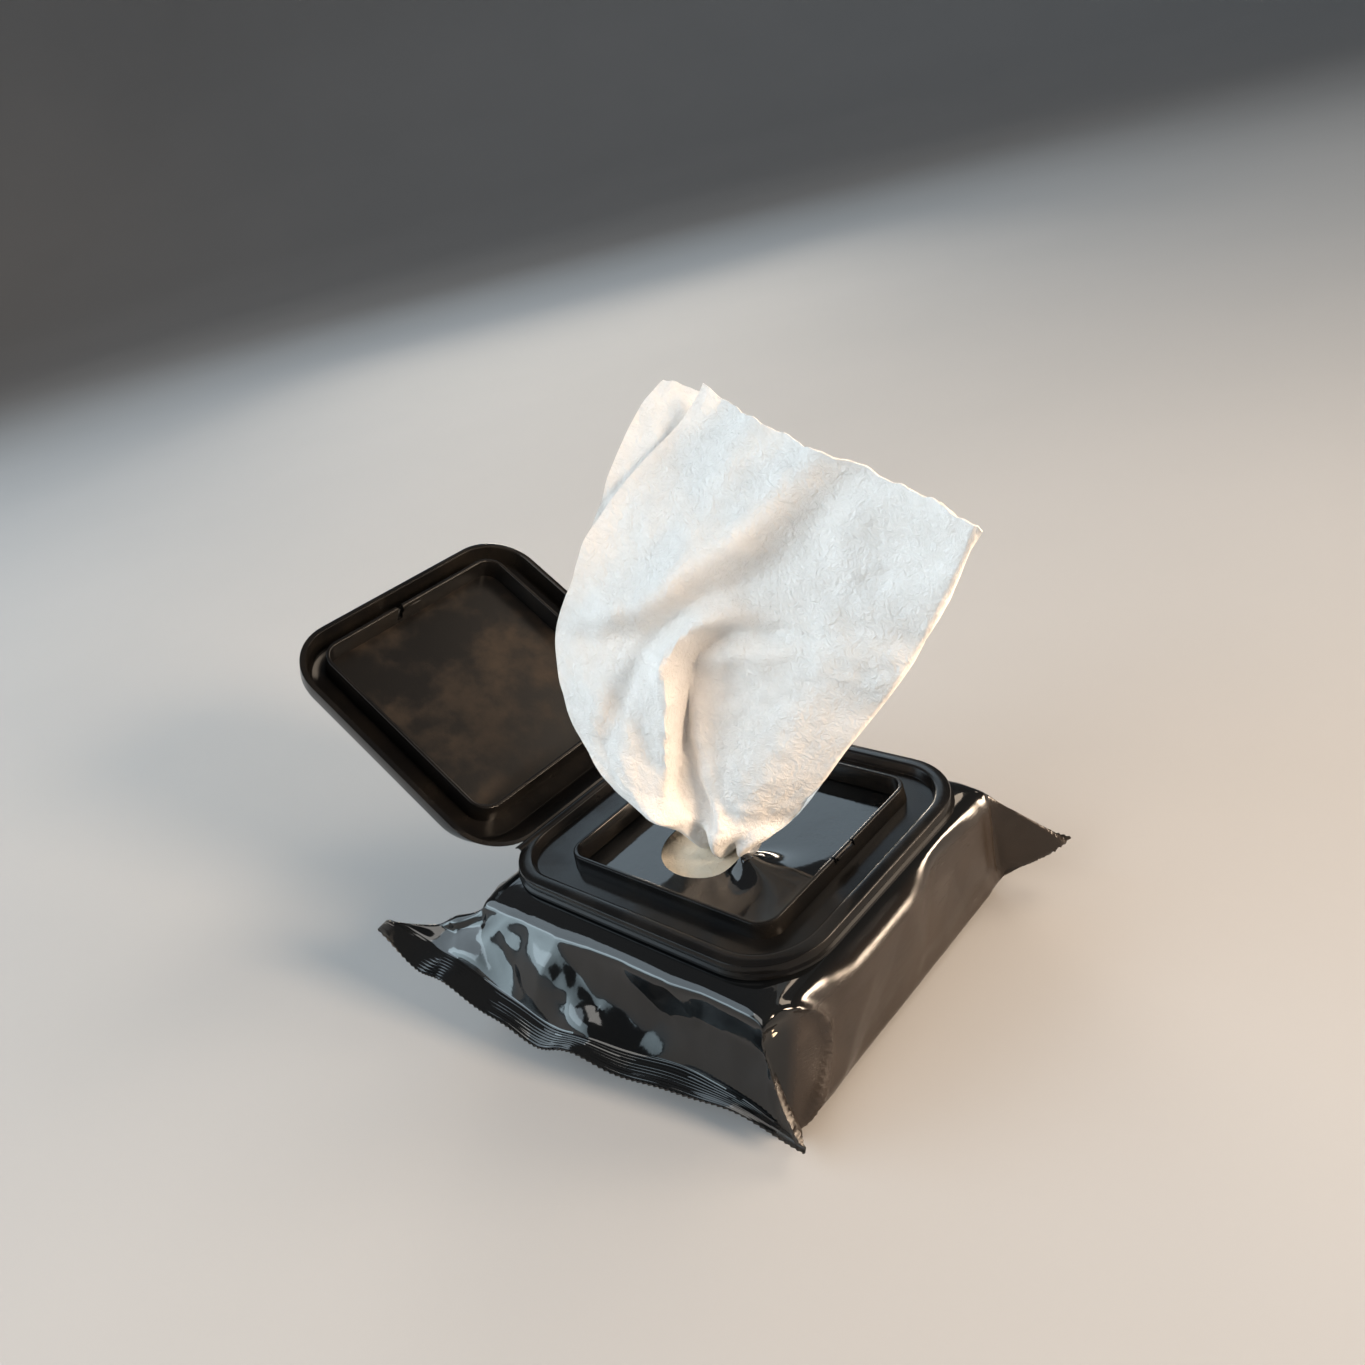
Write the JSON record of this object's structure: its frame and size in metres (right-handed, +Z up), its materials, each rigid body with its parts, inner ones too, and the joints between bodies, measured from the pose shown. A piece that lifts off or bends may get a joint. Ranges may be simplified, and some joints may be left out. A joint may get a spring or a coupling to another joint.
{
  "type": "pack of polishing wipes",
  "caption": "Black film pouch of folded wipes with a hinged rigid flip-top lid standing open, and one white wipe pulled up through the round hole in the film",
  "frame": {"origin": "middle of the flat underside of the pouch", "axes": "+X along the pack from one end seal to the other, +Y across it from the lid's latch side to its hinge side, +Z up from the surface that it lies on"},
  "size_m": [0.1026, 0.1671, 0.1225],
  "materials": {
    "film": "glossy thin laminate film with crimped end seals",
    "lid_plastic": "satin moulded polypropylene",
    "wipe_pulled": "soft white non-woven",
    "wipe": "moist cream non-woven, folded"
  },
  "bodies": {
    "pack": {"film_pouch": "film", "lid_base": "lid_plastic", "pulled_wipe": "wipe_pulled", "wipe_01": "wipe", "wipe_02": "wipe", "wipe_03": "wipe", "wipe_04": "wipe", "wipe_05": "wipe", "wipe_06": "wipe", "wipe_07": "wipe", "wipe_08": "wipe", "wipe_09": "wipe", "wipe_10": "wipe", "wipe_11": "wipe"},
    "lid": {"lid": "lid_plastic"}
  },
  "joints": [
    {"name": "lid_hinge", "type": "hinge", "parent": "pack", "child": "lid", "pos_m": [0.00207, 0.0384, 0.0324], "axis": [-1, 0, 0], "range_deg": [-143.3, 4], "deforming": ["pulled_wipe"]}
  ]
}
